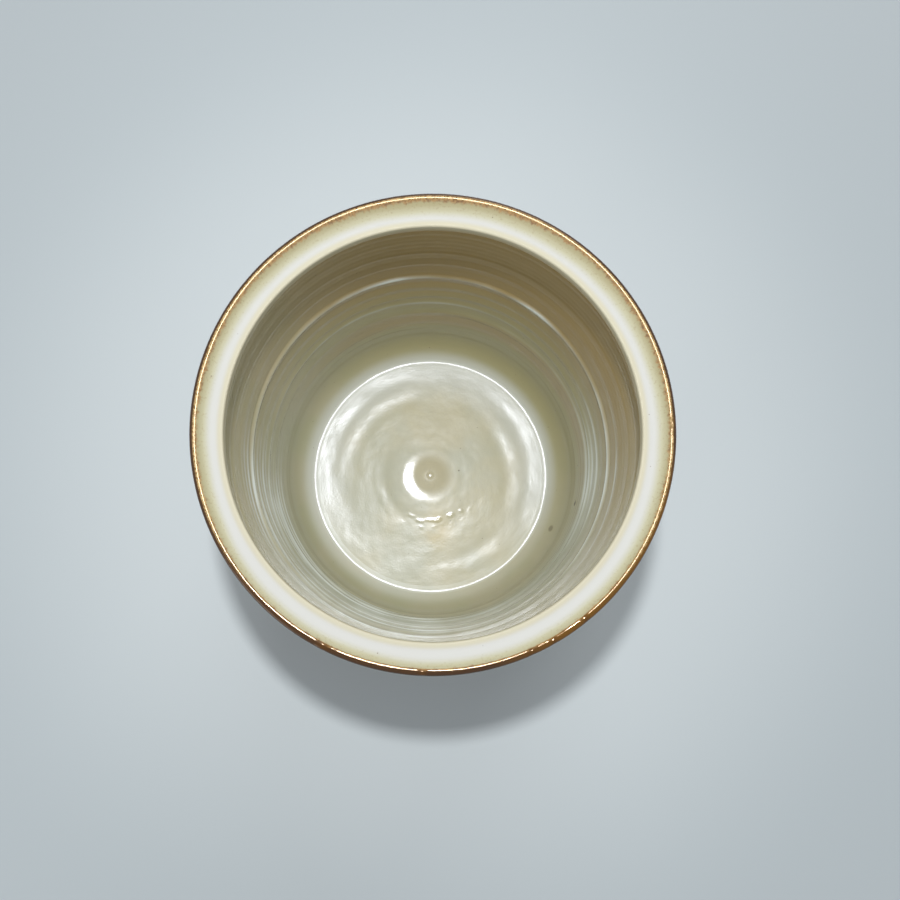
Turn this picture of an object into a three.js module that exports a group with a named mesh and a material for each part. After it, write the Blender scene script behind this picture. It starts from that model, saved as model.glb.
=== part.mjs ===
// Fresh water jar for the tea room: one stoneware pot thrown on the wheel, with a cream
// liner glaze inside and an amber iron glaze outside.
// Millimetres. +Z is up, the wheel's axis is Z, and the origin is the centre of the foot
// on the surface that the jar stands on.

import * as THREE from 'three';

// The whole jar
const JAR_HEIGHT = 163; // surface to the crest of the lip
const RIM_RADIUS = 85; // outside of the lip, over its glaze
const TAPER = 2.5; // how much less the radius is just above the heel
const UPPER_WALL = 6; // thickness of the wall under the lip, with its glaze
const LOWER_WALL = 8; // thickness where the inside turns in to the floor
const FLOOR_THICKNESS = 8.5; // recess to the crease round the floor

// Lip and the inward shelf that a lid sits on
const CLAY_LIP_ROUND = 0.65; // the clay's own rounding, before glaze
const SEAT_SLOPE = 35; // degrees, fall of the shelf just inside the lip
const SEAT_DROP = 3; // crest to the level part of the shelf
const SEAT_FLAT = 2.2; // width of that level part
const SHELF_WIDTH = 11.2; // outside of the lip to the edge of the mouth
const MOUTH_FACE = 4; // height of the shelf's upright edge
const UNDERCUT_SLOPE = 36; // degrees, rise of the shelf's underside towards the mouth
const UNDERCUT_DEPTH = 15; // crest to where the shelf has run out into the wall

// Inside of the pot
const COVE_HEIGHT = 20; // floor to the start of the cove
const COVE_WIDTH = 11; // wall to the crease where the cove meets the floor
const FLOOR_RISE = 0.8; // how far the floor rises from that crease to its centre
const WALL_SWEEP = 1.8; // 1 is a straight taper, more keeps the wall upright for longer

// Marks of throwing
const THROW_PITCH = 10; // height of one pass of the fingers up the wall
const THROW_RELIEF = 0.45; // ridge to groove
const PASS_STEPS = 3; // points drawn from one ridge to the next
const FLOOR_RINGS = [15, 28, 48]; // radii of the ridges round the centre of the floor
const FLOOR_RELIEF = 0.6; // ridge to groove on the floor
const FLOOR_NUB = 3.2; // radius of the button left at the centre

// Outside of the pot
const HEEL_HEIGHT = 17; // surface to where the wall is trimmed in to the foot
const HEEL_WIDTH = 12.5; // how far it is trimmed in, to the outside of the foot ring
const HEEL_FULLNESS = 2.5; // how far the trimmed curve stays out over the foot's root
const HEEL_STEPS = 5; // points drawn down that curve
const FOOT_WIDTH = 7.5;
const FOOT_HEIGHT = 5.5;
const FOOT_BEVEL = 0.8;
const RECESS_DEPTH = 4.5; // hollow inside the foot ring
const RECESS_ROUND = 3; // rounding from the ring into the hollow

// Glaze
const GLAZE_THICKNESS = 0.7;
const COAT_GAP = 0.1; // clearance between a coat and the clay it lies on
const BARE_BAND = 4.5; // heel to the mean line at which the outer glaze stops
const GLAZE_LINE_FADE = 30; // height over which the waves of that line die out
const GLAZE_LINE_WAVES = [
  { lobes: 2, rise: 1.1, start: 0.4 },
  { lobes: 3, rise: 0.8, start: 2.0 },
  { lobes: 7, rise: 0.4, start: 4.1 },
];

const SEGMENTS = 48; // round the axis, shared by all three pieces so that their flats align

// How finely a face is drawn: the faces that show, and those that lie glaze to clay
const SHOWN = { lip: 4, seat: 5, edge: 2, undercut: 3, wall: 9, cove: 4, relief: true };
const HIDDEN = { lip: 2, seat: 2, edge: 0, undercut: 1, wall: 5, cove: 3, relief: false };

// Worked out from the sizes above
const radians = THREE.MathUtils.degToRad;
const coatDepth = GLAZE_THICKNESS + COAT_GAP;
const lipRound = CLAY_LIP_ROUND + coatDepth;
const lipCentre = new THREE.Vector2(RIM_RADIUS - lipRound, JAR_HEIGHT - lipRound);
const seatHeight = JAR_HEIGHT - SEAT_DROP;
const mouthRadius = RIM_RADIUS - SHELF_WIDTH;
const wallTopRadius = RIM_RADIUS - UPPER_WALL;
const baseRadius = RIM_RADIUS - TAPER;
const wallLowRadius = baseRadius - LOWER_WALL;
const floorRadius = wallLowRadius - COVE_WIDTH;
const footRadius = baseRadius - HEEL_WIDTH;
const floorHeight = RECESS_DEPTH + FLOOR_THICKNESS;
const wallTop = JAR_HEIGHT - UNDERCUT_DEPTH;
const coveTop = floorHeight + COVE_HEIGHT;
const glazeLine = HEEL_HEIGHT + BARE_BAND;

// Every outline is a run of points (radius, height). It goes up the outside of a piece,
// over its top and down the inside, which keeps the material on its left.

const at = (radius, height) => new THREE.Vector2(radius, height);

// Round stretch from one direction to another, in degrees anticlockwise from outwards
function arc(centre, radius, from, to, steps) {
  return Array.from({ length: steps + 1 }, (_, i) => {
    const turn = radians(from + ((to - from) * i) / steps);
    return at(centre.x + radius * Math.cos(turn), centre.y + radius * Math.sin(turn));
  });
}

// The inside of the wall: upright at first, then drawn in towards the cove
function wallRadius(height) {
  const fall = (wallTop - height) / (wallTop - coveTop);
  return wallTopRadius - (wallTopRadius - wallLowRadius) * Math.max(fall, 0) ** WALL_SWEEP;
}

// The outside of the wall, over its glaze
function outsideRadius(height) {
  const fall = (lipCentre.y - height) / (lipCentre.y - HEEL_HEIGHT);
  return RIM_RADIUS - (RIM_RADIUS - baseRadius) * Math.max(fall, 0) ** WALL_SWEEP;
}

// Finger grooves are scallops between narrow ridges: 0 on a ridge, 1 in mid groove
const scallop = (pass) => Math.abs(Math.sin(Math.PI * pass));

// Round over the lip, from its outer side over the crest to where the shelf starts down
function lip(detail) {
  const up = arc(lipCentre, lipRound, 0, 90, detail.lip);
  const over = arc(lipCentre, lipRound, 90, 90 + SEAT_SLOPE, Math.ceil(detail.lip / 2));
  return [...up, ...over.slice(1)];
}

// The hollow slope of the shelf, down to its level part
function lidSeat(detail) {
  const start = lip(detail).at(-1);
  const level = at(mouthRadius + SEAT_FLAT, seatHeight);
  const corner = at(start.x - (start.y - seatHeight) / Math.tan(radians(SEAT_SLOPE)), seatHeight);
  return new THREE.QuadraticBezierCurve(start, corner, level).getPoints(detail.seat);
}

// The shelf's edge: eased where it shows, then upright, then running back into the wall
function mouthEdge(detail) {
  const under = seatHeight - MOUTH_FACE;
  if (detail.edge === 0) return [at(mouthRadius, seatHeight), at(mouthRadius, under)];
  const centre = mouthRadius + coatDepth;
  const upper = at(centre, seatHeight - coatDepth);
  const lower = at(centre, under + coatDepth);
  return [
    ...arc(upper, coatDepth, 90, 180, detail.edge),
    ...arc(lower, coatDepth, 180, 270 - UNDERCUT_SLOPE, detail.edge),
  ];
}

function undercut(detail) {
  const start = mouthEdge(detail).at(-1);
  const end = at(wallTopRadius, wallTop);
  const fall = (end.x - start.x) * Math.tan(radians(UNDERCUT_SLOPE));
  const corner = at(wallTopRadius, start.y - fall);
  const run = new THREE.QuadraticBezierCurve(start, corner, end).getPoints(detail.undercut);
  return run.slice(1, -1);
}

// The wall, with the passes of the fingers where it shows
function thrownWall(detail) {
  const passes = Math.max(1, Math.round((wallTop - coveTop) / THROW_PITCH));
  const steps = detail.relief ? passes * PASS_STEPS : detail.wall;
  return Array.from({ length: steps + 1 }, (_, i) => {
    const height = wallTop + ((coveTop - wallTop) * i) / steps;
    const groove = detail.relief ? THROW_RELIEF * (scallop(i / PASS_STEPS) - 0.5) : 0;
    return at(wallRadius(height) + groove, height);
  });
}

// The cove leaves the wall upright and meets the floor at an angle, which makes the crease
function cove(detail) {
  const inset = wallLowRadius - floorRadius;
  const sweep = 2 * Math.atan(inset / COVE_HEIGHT);
  const radius = COVE_HEIGHT / Math.sin(sweep);
  const centre = at(wallLowRadius - radius, coveTop);
  return arc(centre, radius, 0, -THREE.MathUtils.radToDeg(sweep), detail.cove).slice(1);
}

// The floor rises a little from the crease to its centre
function floorAt(radius) {
  return floorHeight + FLOOR_RISE * (1 - (radius / floorRadius) ** 2);
}

// The floor, from the crease to the axis: ridges with grooves between, and the nub
function thrownFloor(detail) {
  if (!detail.relief) return [at(floorRadius / 2, floorAt(floorRadius / 2)), at(0, floorAt(0))];
  const ridges = [floorRadius, ...[...FLOOR_RINGS].reverse(), FLOOR_NUB];
  const points = [];
  for (let i = 0; i + 1 < ridges.length; i++) {
    for (let step = 1; step <= PASS_STEPS; step++) {
      const radius = ridges[i] + ((ridges[i + 1] - ridges[i]) * step) / PASS_STEPS;
      const groove = (FLOOR_RELIEF * scallop(step / PASS_STEPS)) / 2;
      points.push(at(radius, floorAt(radius) - groove));
    }
  }
  return [...points, at(0, floorAt(0) + FLOOR_RELIEF / 2)];
}

// The whole inside over its glaze, from the lip's joint to the axis
function inside(detail) {
  return [
    ...lidSeat(detail).slice(1),
    ...mouthEdge(detail),
    ...undercut(detail),
    ...thrownWall(detail),
    ...cove(detail),
    ...thrownFloor(detail),
  ];
}

// The outer wall over its glaze, from the glaze line up to the lip
function outside(detail) {
  return Array.from({ length: detail.wall }, (_, i) => {
    const height = glazeLine + ((lipCentre.y - glazeLine) * i) / detail.wall;
    return at(outsideRadius(height), height);
  });
}

// The same outline moved into the material by a depth, keeping each stretch parallel
function inset(points, depth) {
  const normals = points.slice(1).map((point, i) => {
    const along = point.clone().sub(points[i]).normalize();
    return at(-along.y, along.x);
  });
  return points.map((point, i) => {
    const before = normals[Math.max(i - 1, 0)];
    const after = normals[Math.min(i, normals.length - 1)];
    const mitre = before.clone().add(after).normalize();
    const moved = point.clone().addScaledVector(mitre, depth / mitre.dot(after));
    if (point.x === 0) moved.x = 0;
    return moved;
  });
}

// Turn an outline round the axis. A coat's outline is closed by its own first point.
function turned(outline, closed) {
  const profile = closed ? [...outline, outline[0].clone()] : outline;
  return new THREE.LatheGeometry(profile, SEGMENTS).rotateX(Math.PI / 2);
}

function piece(name, geometry, color, roughness) {
  const material = new THREE.MeshStandardMaterial({ color, roughness, metalness: 0 });
  const mesh = new THREE.Mesh(geometry, material);
  mesh.name = name;
  return mesh;
}

// Trimmed foot ring and heel, from the centre of the recess out to the wall
function foot() {
  const inner = footRadius - FOOT_WIDTH;
  const root = at(footRadius + FOOT_BEVEL, FOOT_HEIGHT);
  const heel = at(baseRadius - coatDepth, HEEL_HEIGHT);
  const full = at(heel.x, root.y + HEEL_FULLNESS);
  return [
    at(0, RECESS_DEPTH),
    at(inner - RECESS_ROUND, RECESS_DEPTH),
    at(inner, RECESS_DEPTH / 2),
    at(inner, FOOT_BEVEL),
    at(inner + FOOT_BEVEL, 0),
    at(footRadius - FOOT_BEVEL, 0),
    at(footRadius, FOOT_BEVEL),
    ...new THREE.QuadraticBezierCurve(root, full, heel).getPoints(HEEL_STEPS).slice(0, -1),
  ];
}

// The fired clay: bare at the foot, and a coat's depth under the glaze everywhere else
function stonewareBody() {
  const wallFoot = at(outsideRadius(HEEL_HEIGHT), HEEL_HEIGHT);
  const skin = [wallFoot, ...outside(HIDDEN), ...lip(HIDDEN), ...inside(HIDDEN)];
  const outline = [...foot(), ...inset(skin, coatDepth)];
  return piece('stoneware_body', turned(outline, false), '#a08a72', 0.85);
}

// The two coats meet just inside the crest of the lip. Their backs come from one outline,
// cut there, and the liner starts a gap further down the shelf.
function coatBacks() {
  const outer = [...outside(HIDDEN), ...lip(HIDDEN)];
  const back = inset([...outer, ...inside(HIDDEN)], GLAZE_THICKNESS);
  const joint = outer.length;
  return {
    outer: back.slice(0, joint),
    liner: [downTheShelf(back[joint - 1]), ...back.slice(joint)],
  };
}

function downTheShelf(point) {
  const slope = radians(SEAT_SLOPE);
  return at(point.x - COAT_GAP * Math.cos(slope), point.y - COAT_GAP * Math.sin(slope));
}

// Cream glaze over the floor, the wall and the shelf, up to the inside of the lip
function linerGlaze() {
  const front = [downTheShelf(lip(SHOWN).at(-1)), ...inside(SHOWN)];
  const outline = [...coatBacks().liner.reverse(), ...front];
  return piece('liner_glaze', turned(outline, false), '#cfc8ad', 0.25);
}

// Rise and fall of the outer glaze's lower edge round the jar
function glazeLineWave(turn) {
  return GLAZE_LINE_WAVES.reduce(
    (sum, wave) => sum + wave.rise * Math.sin(wave.lobes * turn + wave.start),
    0,
  );
}

// Amber glaze down the outside and over the lip, ending in an uneven line above the heel
function outerGlaze() {
  const front = [...outside(SHOWN), ...lip(SHOWN)];
  const geometry = turned([...front, ...coatBacks().outer.reverse()], true);
  const spots = geometry.attributes.position;
  for (let i = 0; i < spots.count; i++) {
    const height = spots.getZ(i);
    const share = Math.max(0, 1 - (height - glazeLine) / GLAZE_LINE_FADE);
    if (share === 0) continue;
    const turn = Math.atan2(spots.getY(i), spots.getX(i));
    const moved = height + share * glazeLineWave(turn);
    const radius = Math.hypot(spots.getX(i), spots.getY(i));
    const scale = (radius + outsideRadius(moved) - outsideRadius(height)) / radius;
    spots.setXYZ(i, spots.getX(i) * scale, spots.getY(i) * scale, moved);
  }
  return piece('outer_glaze', geometry, '#5b3a1c', 0.2);
}

const jar = new THREE.Group();
jar.name = 'fresh_water_jar';
jar.add(stonewareBody(), linerGlaze(), outerGlaze());

export default jar;
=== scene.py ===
"""The look of a fresh water jar: cream and amber glazes over thrown stoneware.

Metres, +Z up. The jar stands on the floor at z = 0 with its axis on Z.
"""

import functools
import math

import bmesh
import bpy
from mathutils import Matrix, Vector, noise


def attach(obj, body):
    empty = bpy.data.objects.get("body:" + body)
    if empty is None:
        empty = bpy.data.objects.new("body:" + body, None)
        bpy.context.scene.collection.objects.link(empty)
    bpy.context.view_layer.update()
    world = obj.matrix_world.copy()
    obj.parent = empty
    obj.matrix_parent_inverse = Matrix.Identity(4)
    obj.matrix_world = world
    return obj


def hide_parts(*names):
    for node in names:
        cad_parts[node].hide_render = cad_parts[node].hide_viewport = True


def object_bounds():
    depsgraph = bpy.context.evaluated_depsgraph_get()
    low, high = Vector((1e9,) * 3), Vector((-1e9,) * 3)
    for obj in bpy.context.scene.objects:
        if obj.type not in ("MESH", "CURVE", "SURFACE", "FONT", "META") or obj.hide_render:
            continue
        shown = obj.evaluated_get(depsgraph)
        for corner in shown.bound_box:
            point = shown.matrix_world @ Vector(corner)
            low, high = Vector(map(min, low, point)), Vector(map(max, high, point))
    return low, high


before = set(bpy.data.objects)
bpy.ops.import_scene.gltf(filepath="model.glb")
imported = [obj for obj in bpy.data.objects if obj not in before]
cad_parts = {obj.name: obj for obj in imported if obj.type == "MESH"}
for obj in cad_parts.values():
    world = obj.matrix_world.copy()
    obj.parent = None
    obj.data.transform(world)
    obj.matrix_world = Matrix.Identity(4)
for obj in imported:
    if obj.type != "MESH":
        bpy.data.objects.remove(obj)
cad_low, cad_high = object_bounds()

MM = 0.001

# The jar's sizes, as its maker would give them
JAR_HEIGHT = cad_high.z
RIM_RADIUS = cad_high.x
TAPER = 2.5 * MM
UPPER_WALL = 6 * MM
LOWER_WALL = 8 * MM
FLOOR_THICKNESS = 8.5 * MM
LIP_ROUND = 1.6 * MM
SEAT_SLOPE = math.radians(34)
SEAT_DROP = 3 * MM
SEAT_FLAT = 1.6 * MM
SHELF_WIDTH = 11.2 * MM
MOUTH_FACE = 4 * MM
MOUTH_EASE = 0.8 * MM
UNDERCUT_SLOPE = math.radians(36)
UNDERCUT_DEPTH = 15 * MM
COVE_HEIGHT = 20 * MM
COVE_WIDTH = 10.2 * MM
WALL_SWEEP = 1.8
HEEL_HEIGHT = 17 * MM
HEEL_WIDTH = 12.5 * MM
HEEL_FULLNESS = 2.5 * MM
FOOT_WIDTH = 7.5 * MM
FOOT_HEIGHT = 5.5 * MM
FOOT_BEVEL = 0.8 * MM
RECESS_DEPTH = 4.5 * MM
RECESS_ROUND = 3 * MM
COAT_DEPTH = 0.8 * MM
BARE_BAND = 4.5 * MM
GLAZE_LINE_FADE = 30 * MM

MOUTH_RADIUS = RIM_RADIUS - SHELF_WIDTH
WALL_TOP_RADIUS = RIM_RADIUS - UPPER_WALL
BASE_RADIUS = RIM_RADIUS - TAPER
WALL_LOW_RADIUS = BASE_RADIUS - LOWER_WALL
FLOOR_RADIUS = WALL_LOW_RADIUS - COVE_WIDTH
FOOT_RADIUS = BASE_RADIUS - HEEL_WIDTH
FLOOR_HEIGHT = RECESS_DEPTH + FLOOR_THICKNESS
SEAT_HEIGHT = JAR_HEIGHT - SEAT_DROP
WALL_TOP = JAR_HEIGHT - UNDERCUT_DEPTH
COVE_TOP = FLOOR_HEIGHT + COVE_HEIGHT
LIP_CENTRE = Vector((RIM_RADIUS - LIP_ROUND, JAR_HEIGHT - LIP_ROUND))
GLAZE_LINE = HEEL_HEIGHT + BARE_BAND

# How finely the turned surfaces are drawn: steps round the axis, the steps along each part
# of an outline, and the share of them used where it shows or lies hidden against the clay
TURNS = 256
SHELF_STEPS = 24
MOUTH_STEPS = 6
UNDERCUT_STEPS = 10
WALL_STEPS = 136
COVE_STEPS = 18
OUTSIDE_STEPS = 110
LIP_STEPS = 24
HIDDEN_LIP_STEPS = 4
RECESS_STEPS = 20
HEEL_STEPS = 14
SHOWN = 1.0
HIDDEN = 0.12
# Edges that turn by more than this stay sharp, and points closer than this are joined
SHARP = math.radians(50)
MERGE_DISTANCE = 0.001 * MM


def quadratic(start, corner, end, steps):
    """Points of a quadratic curve, both ends included."""
    points = []
    for i in range(steps + 1):
        t = i / steps
        points.append(start * (1 - t) ** 2 + corner * 2 * t * (1 - t) + end * t ** 2)
    return points


def arc(centre, radius, first, last, steps):
    """Points of a round stretch, angles in radians anticlockwise from outwards."""
    points = []
    for i in range(steps + 1):
        turn = first + (last - first) * i / steps
        points.append(centre + Vector((math.cos(turn), math.sin(turn))) * radius)
    return points


def line(start, end, steps):
    """Evenly spaced points of a straight stretch, both ends included."""
    return [start.lerp(end, i / steps) for i in range(steps + 1)]


def lobe(place, middle, half):
    """1 in the middle of an arc or band, falling softly to 0 at its ends; arcs in degrees."""
    away = (place - middle + 180) % 360 - 180
    return (1 + math.cos(math.pi * away / half)) / 2 if abs(away) < half else 0.0


def soft_step(value, low, high):
    """0 below low, 1 above high and smooth between."""
    share = min(1.0, max(0.0, (value - low) / (high - low)))
    return share * share * (3 - 2 * share)


def wall_radius(height):
    """Radius of the wall's inside, which narrows towards the cove."""
    fall = max(0.0, (WALL_TOP - height) / (WALL_TOP - COVE_TOP))
    return WALL_TOP_RADIUS - (WALL_TOP_RADIUS - WALL_LOW_RADIUS) * fall ** WALL_SWEEP


def outside_radius(height):
    """Radius of the outside, which narrows towards the heel."""
    fall = max(0.0, (LIP_CENTRE.y - height) / (LIP_CENTRE.y - HEEL_HEIGHT))
    return RIM_RADIUS - (RIM_RADIUS - BASE_RADIUS) * fall ** WALL_SWEEP


def lip_profile(steps):
    """The round of the lip, from its side over the crest to the top of the shelf."""
    return arc(LIP_CENTRE, LIP_ROUND, 0, math.pi / 2 + SEAT_SLOPE, steps)


# The tables that follow are in millimetres and degrees. Directions are counted
# anticlockwise from +X, and an arc is given by its middle and half its reach.

# Radii and heights of the floor's forms, from the nub at the centre out to the crease
FLOOR_FORM = (
    (0, 14.3), (0.9, 14.27), (1.9, 14.1), (3.2, 14.0), (6, 13.7), (8.4, 13.43),
    (10.3, 13.27), (12.2, 13.17), (14.6, 13.07), (17.5, 12.93), (20, 12.84), (26, 12.68),
    (36, 12.52), (43, 12.47), (48, 12.47), (51.5, 12.52), (57, 12.64), (60.4, 12.735),
    (62.2, 12.785), (62.9, 12.802), (63.4, 12.826), (63.8, 12.86), (64.05, 12.905), (64.3, 13),
)
# Radii at which the floor's hidden side is drawn, and those of the side that shows: close
# steps by the crease, then wider ones to the centre
HIDDEN_RADII = (60, 50, 40, 28, 15, 6, 0)
CREASE_PITCH, CREASE_ROWS = 0.3, 13
FLOOR_START, FLOOR_PITCH, FLOOR_ROWS = 60.4, 0.6, 100
CREASE_MARGIN = 0.01 * MM

# Low steps in the floor: radius, width and rise, and the arc on which each stands up
FLOOR_STEPS = (
    (46.6, 8.5, 0.15, 140, 62), (45.5, 10, 0.19, 30, 38), (46.4, 9, 0.13, 350, 26),
    (51, 9, 0.09, 298, 40), (27.5, 5, 0.05, 195, 60),
)

# Where the outer part of the floor turns up: the arcs with their slope, and the radii at
# which its lift fades in, the slope starts, is full and ends
FLOOR_UPTURNS = ((4, 62, 2.5), (52, 46, 1.7), (103, 42, 1.8), (158, 72, 2.3), (216, 46, 0.9))
UPTURN_FADE = 20
UPTURN_START = 50
UPTURN_FULL = 58
UPTURN_END = 62.2
UPTURN_VARIATION = 0.35

# The raised side of the terrace round the nub: its arc and slope, and the radii at which
# the rise starts, ends and has died away
TERRACE = (192, 92, 3.6, 8.4, 15.6, 30)

# The ring of small knots of clay near the centre: its arc, radius, width and height, the
# size of a knot along X and Y, and how much of the noise is left out between them
FLOOR_KNOTS = (278, 62, 26, 3.0, 0.62)
KNOT_SIZE = (3.4, 2.6)
KNOT_GAP = 0.16

# Soft unevenness of the floor: height, size and seed. It dies away towards the centre.
FLOOR_UNEVEN = ((0.09, 11, 3), (0.025, 3.5, 5))
UNEVEN_RADIUS = 30


def spline(points, at):
    """Height at a radius on a smooth run through points, which are in millimetres."""
    last = len(points) - 1
    i = 0
    while i < last - 1 and at > points[i + 1][0]:
        i += 1
    (x0, y0), (x1, y1) = points[i], points[i + 1]
    before, after = points[max(i - 1, 0)], points[min(i + 2, last)]
    first = (y1 - before[1]) / (x1 - before[0]) if i else 0.0
    second = (after[1] - y0) / (after[0] - x0)
    t = (at - x0) / (x1 - x0)
    return (
        y0 * (1 + 2 * t) * (1 - t) ** 2 + first * (x1 - x0) * t * (1 - t) ** 2
        + y1 * t * t * (3 - 2 * t) + second * (x1 - x0) * t * t * (t - 1)
    )


def floor_profile(fineness):
    """The floor from just inside the crease to the axis."""
    radii = HIDDEN_RADII
    if fineness == SHOWN:
        radii = [FLOOR_FORM[-1][0] - CREASE_PITCH * i for i in range(1, CREASE_ROWS + 1)]
        radii += [FLOOR_START - FLOOR_PITCH * i for i in range(1, FLOOR_ROWS + 1)]
        radii.append(0)
    return [Vector((r * MM, spline(FLOOR_FORM, r) * MM)) for r in radii]


def inside_profile(fineness):
    """The inside from the lip's joint down to the axis; fineness 1 is for what shows."""
    def count(steps):
        return max(2, round(steps * fineness))

    joint = lip_profile(HIDDEN_LIP_STEPS)[-1]
    level = Vector((MOUTH_RADIUS + SEAT_FLAT, SEAT_HEIGHT))
    corner = Vector((joint.x - (joint.y - level.y) / math.tan(SEAT_SLOPE), level.y))
    points = quadratic(joint, corner, level, count(SHELF_STEPS))
    ease = Vector((MOUTH_EASE, -MOUTH_EASE))
    upper = Vector((MOUTH_RADIUS, SEAT_HEIGHT)) + ease
    lower = upper - Vector((0, MOUTH_FACE - 2 * MOUTH_EASE))
    points += arc(upper, MOUTH_EASE, math.pi / 2, math.pi, count(MOUTH_STEPS))
    under = 1.5 * math.pi - UNDERCUT_SLOPE
    points += arc(lower, MOUTH_EASE, math.pi, under, count(MOUTH_STEPS))
    start, end = points[-1], Vector((WALL_TOP_RADIUS, WALL_TOP))
    turn = Vector((end.x, start.y - (end.x - start.x) * math.tan(UNDERCUT_SLOPE)))
    points += quadratic(start, turn, end, count(UNDERCUT_STEPS))[1:-1]
    steps = count(WALL_STEPS)
    for i in range(steps + 1):
        height = WALL_TOP + (COVE_TOP - WALL_TOP) * i / steps
        points.append(Vector((wall_radius(height), height)))
    sweep = 2 * math.atan(COVE_WIDTH / COVE_HEIGHT)
    radius = COVE_HEIGHT / math.sin(sweep)
    centre = Vector((WALL_LOW_RADIUS - radius, COVE_TOP))
    points += arc(centre, radius, 0, -sweep, count(COVE_STEPS))[1:]
    return points + floor_profile(fineness)


def outside_profile(fineness):
    """The glazed outside from the glaze line up to the lip's side."""
    steps = max(4, round(OUTSIDE_STEPS * fineness))
    top = LIP_CENTRE.y
    heights = [GLAZE_LINE + (top - GLAZE_LINE) * i / steps for i in range(steps)]
    return [Vector((outside_radius(height), height)) for height in heights]


def inset(points, depth):
    """The same outline moved into the material, which lies on its left."""
    normals = []
    for before, after in zip(points, points[1:]):
        along = (after - before).normalized()
        normals.append(Vector((-along.y, along.x)))
    moved = []
    for i, point in enumerate(points):
        before = normals[max(i - 1, 0)]
        after = normals[min(i, len(normals) - 1)]
        mitre = (before + after).normalized()
        place = point + mitre * (depth / mitre.dot(after))
        if point.x == 0:
            place.x = 0
        moved.append(place)
    return moved


def turn_piece(shown, hidden, closed):
    """Turns an outline round the axis. Its shown points carry the relief that follows."""
    mesh = bmesh.new()
    relief = mesh.verts.layers.float.new("relief")
    chain = []
    for point, weight in [(p, 1.0) for p in shown] + [(p, 0.0) for p in hidden]:
        vert = mesh.verts.new((point.x, 0, point.y))
        vert[relief] = weight
        chain.append(vert)
    edges = [mesh.edges.new(pair) for pair in zip(chain, chain[1:])]
    if closed:
        edges.append(mesh.edges.new((chain[-1], chain[0])))
    bmesh.ops.spin(
        mesh, geom=chain + edges, cent=(0, 0, 0), axis=(0, 0, 1), dvec=(0, 0, 0),
        angle=2 * math.pi, steps=TURNS, use_merge=True, use_duplicate=False,
    )
    bmesh.ops.remove_doubles(mesh, verts=mesh.verts, dist=MERGE_DISTANCE)
    bmesh.ops.recalc_face_normals(mesh, faces=mesh.faces)
    return mesh, relief


def finish_piece(mesh, name, material, node):
    """Shades the mesh, makes it an object, hides the CAD node it stands for and hangs it on the jar's
    body.
    """
    for face in mesh.faces:
        face.smooth = True
    for edge in mesh.edges:
        edge.smooth = edge.calc_face_angle(0) < SHARP
    data = bpy.data.meshes.new(name)
    mesh.to_mesh(data)
    mesh.free()
    data.materials.append(material)
    piece = bpy.data.objects.new(name, data)
    bpy.context.scene.collection.objects.link(piece)
    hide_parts(node)
    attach(piece, "root")


# Throwing rings on the inside wall: mean depth below the crest of the lip, how far the
# ring wanders up and down, where round the jar it stands highest, how far its form
# reaches above and below its crest, and how bold it is
WALL_RINGS = (
    (20, 1.5, 80, 3, 4, 0.1), (28, 2.5, 60, 3, 5, 0.12), (37, 2.0, 200, 4, 4, 0.2),
    (50, 3.0, 125, 5.5, 3.2, 0.3), (64, 4.5, 125, 1.9, 5.5, 1.1), (75, 3.0, 125, 6, 3.4, 0.45),
    (84, 3.0, 125, 6.5, 3.4, 0.5), (95, 6.5, 120, 5.5, 3.0, 0.7), (105, 3.0, 125, 6, 3.6, 0.5),
    (114, 2.5, 10, 6, 3.6, 0.4), (124, 3.0, 80, 5, 4, 0.3), (133, 2.0, 200, 4, 4, 0.25),
)
RING_RELIEF = 0.75 * MM
FAINTEST_RING = 0.05
# The fine ripple between the rings, and the wall's slow unevenness
RIPPLE_PITCH = 3.4 * MM
RIPPLE_RELIEF = 0.035 * MM
UNEVEN_RELIEF = 0.25 * MM
# The relief fades out over these heights at the top and the foot of the wall
RING_FADE_TOP = 5 * MM
RING_FADE_FOOT = 8 * MM


def round_noise(turn, height, spread, tall, seed):
    """Slow variation that joins up round the jar, from -1 to 1."""
    place = Vector((math.cos(turn) * spread, math.sin(turn) * spread, height * tall + seed))
    return noise.noise(place)


@functools.lru_cache(None)
def rings_at(turn):
    """Depth, reach above and below, and boldness of each ring in one direction."""
    rings = []
    for i, (mean, wander, top, above, below, bold) in enumerate(WALL_RINGS):
        strength = bold * (0.8 + 0.9 * round_noise(turn, 0, 1.1, 0, 7.3 * i))
        crest = mean - wander * math.cos(turn - math.radians(top))
        rings.append((crest, above, below, max(strength, FAINTEST_RING)))
    return rings


def wall_relief(turn, height):
    """How far the thrown wall stands in from its even outline."""
    depth = JAR_HEIGHT - height
    inward = 0.0
    for crest, above, below, strength in rings_at(turn):
        over = crest - depth / MM
        share = over / above if over > 0 else -over / below
        if share < 1:
            inward += RING_RELIEF * strength * (1 + math.cos(math.pi * share)) / 2
    lean = turn / (2 * math.pi)
    fine = math.sin(2 * math.pi * (depth / RIPPLE_PITCH + lean))
    fine *= RIPPLE_RELIEF * (1 + round_noise(turn, height, 1, 90, 3))
    uneven = UNEVEN_RELIEF * round_noise(turn, height, 0.9, 14, 11)
    return inward + fine + uneven
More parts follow.
